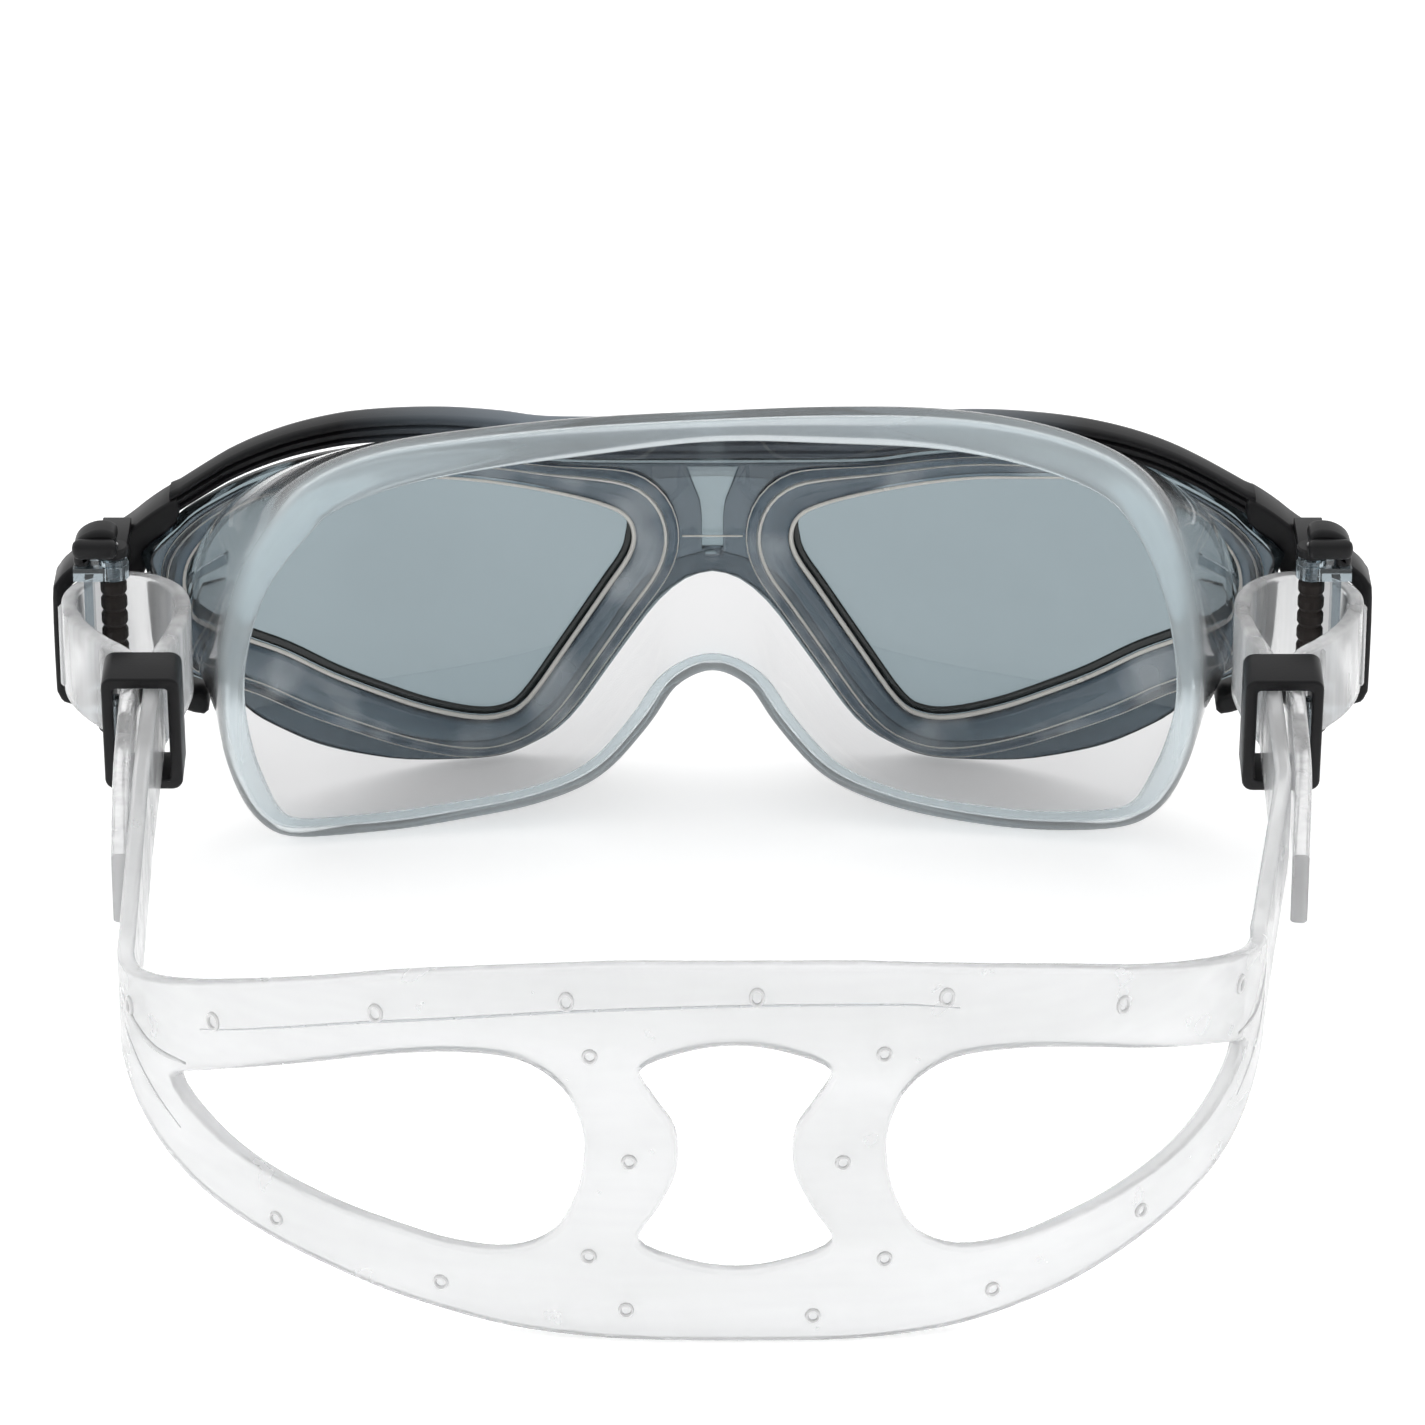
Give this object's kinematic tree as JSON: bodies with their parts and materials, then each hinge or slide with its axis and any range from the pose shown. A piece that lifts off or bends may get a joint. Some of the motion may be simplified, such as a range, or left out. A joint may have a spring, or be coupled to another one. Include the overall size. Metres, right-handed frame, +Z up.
{
  "type": "swim mask",
  "caption": "Low-volume swim mask: one smoke lens, soft clear skirt, ratchet buckles and a clear split silicone strap held by sliding keepers.",
  "frame": {"origin": "middle of the whole mask and strap in plan, at the height of the surface it rests on", "axes": "+X to the wearer's right, +Y the way the wearer looks, +Z up"},
  "size_m": [0.195, 0.18, 0.0692],
  "materials": {
    "smoke_lens": "polished, tinted, clear plastic",
    "black_plastic": "satin moulded",
    "skirt_silicone": "translucent, smooth silicone",
    "strap_silicone": "translucent, milky silicone",
    "steel": "drawn stainless wire",
    "clear_plastic": "transparent, smoke tinted",
    "roller_plastic": "moulded, ringed"
  },
  "bodies": {
    "mask": {"lens": "smoke_lens", "brow_frame": "black_plastic", "skirt": "skirt_silicone", "strap_yoke": "strap_silicone", "left_strap_band": "strap_silicone", "left_buckle_housing": "black_plastic", "left_roller_pin": "steel", "left_lever_spring": "steel", "right_strap_band": "strap_silicone", "right_buckle_housing": "black_plastic", "right_roller_pin": "steel", "right_lever_spring": "steel"},
    "left_roller": {"left_ratchet_roller": "roller_plastic"},
    "left_lever": {"left_clamp_lever": "clear_plastic", "left_thumb_knob": "black_plastic"},
    "left_keeper": {"left_keeper": "black_plastic"},
    "right_roller": {"right_ratchet_roller": "roller_plastic"},
    "right_lever": {"right_clamp_lever": "clear_plastic", "right_thumb_knob": "black_plastic"},
    "right_keeper": {"right_keeper": "black_plastic"}
  },
  "joints": [
    {"name": "left_roller_turn", "type": "hinge", "parent": "mask", "child": "left_roller", "pos_m": [-0.088, 0.04695, 0.0388], "axis": [0, 0, 1], "continuous": true},
    {"name": "left_lever_press", "type": "hinge", "parent": "mask", "child": "left_lever", "pos_m": [-0.088, 0.04695, 0.0388], "axis": [0, 0, 1], "range_deg": [0, 12], "stiffness_Nm_per_rad": 0.02, "springref_deg": -5.73},
    {"name": "left_keeper_slide", "type": "slide", "parent": "mask", "child": "left_keeper", "axis": [0, -0.9947, -0.1033], "range_m": [0, 0.02]},
    {"name": "right_roller_turn", "type": "hinge", "parent": "mask", "child": "right_roller", "pos_m": [0.088, 0.04695, 0.0388], "axis": [0, 0, 1], "continuous": true},
    {"name": "right_lever_press", "type": "hinge", "parent": "mask", "child": "right_lever", "pos_m": [0.088, 0.04695, 0.0388], "axis": [0, 0, -1], "range_deg": [0, 12], "stiffness_Nm_per_rad": 0.02, "springref_deg": -5.73},
    {"name": "right_keeper_slide", "type": "slide", "parent": "mask", "child": "right_keeper", "axis": [0, -0.9935, -0.1142], "range_m": [0, 0.02]}
  ]
}
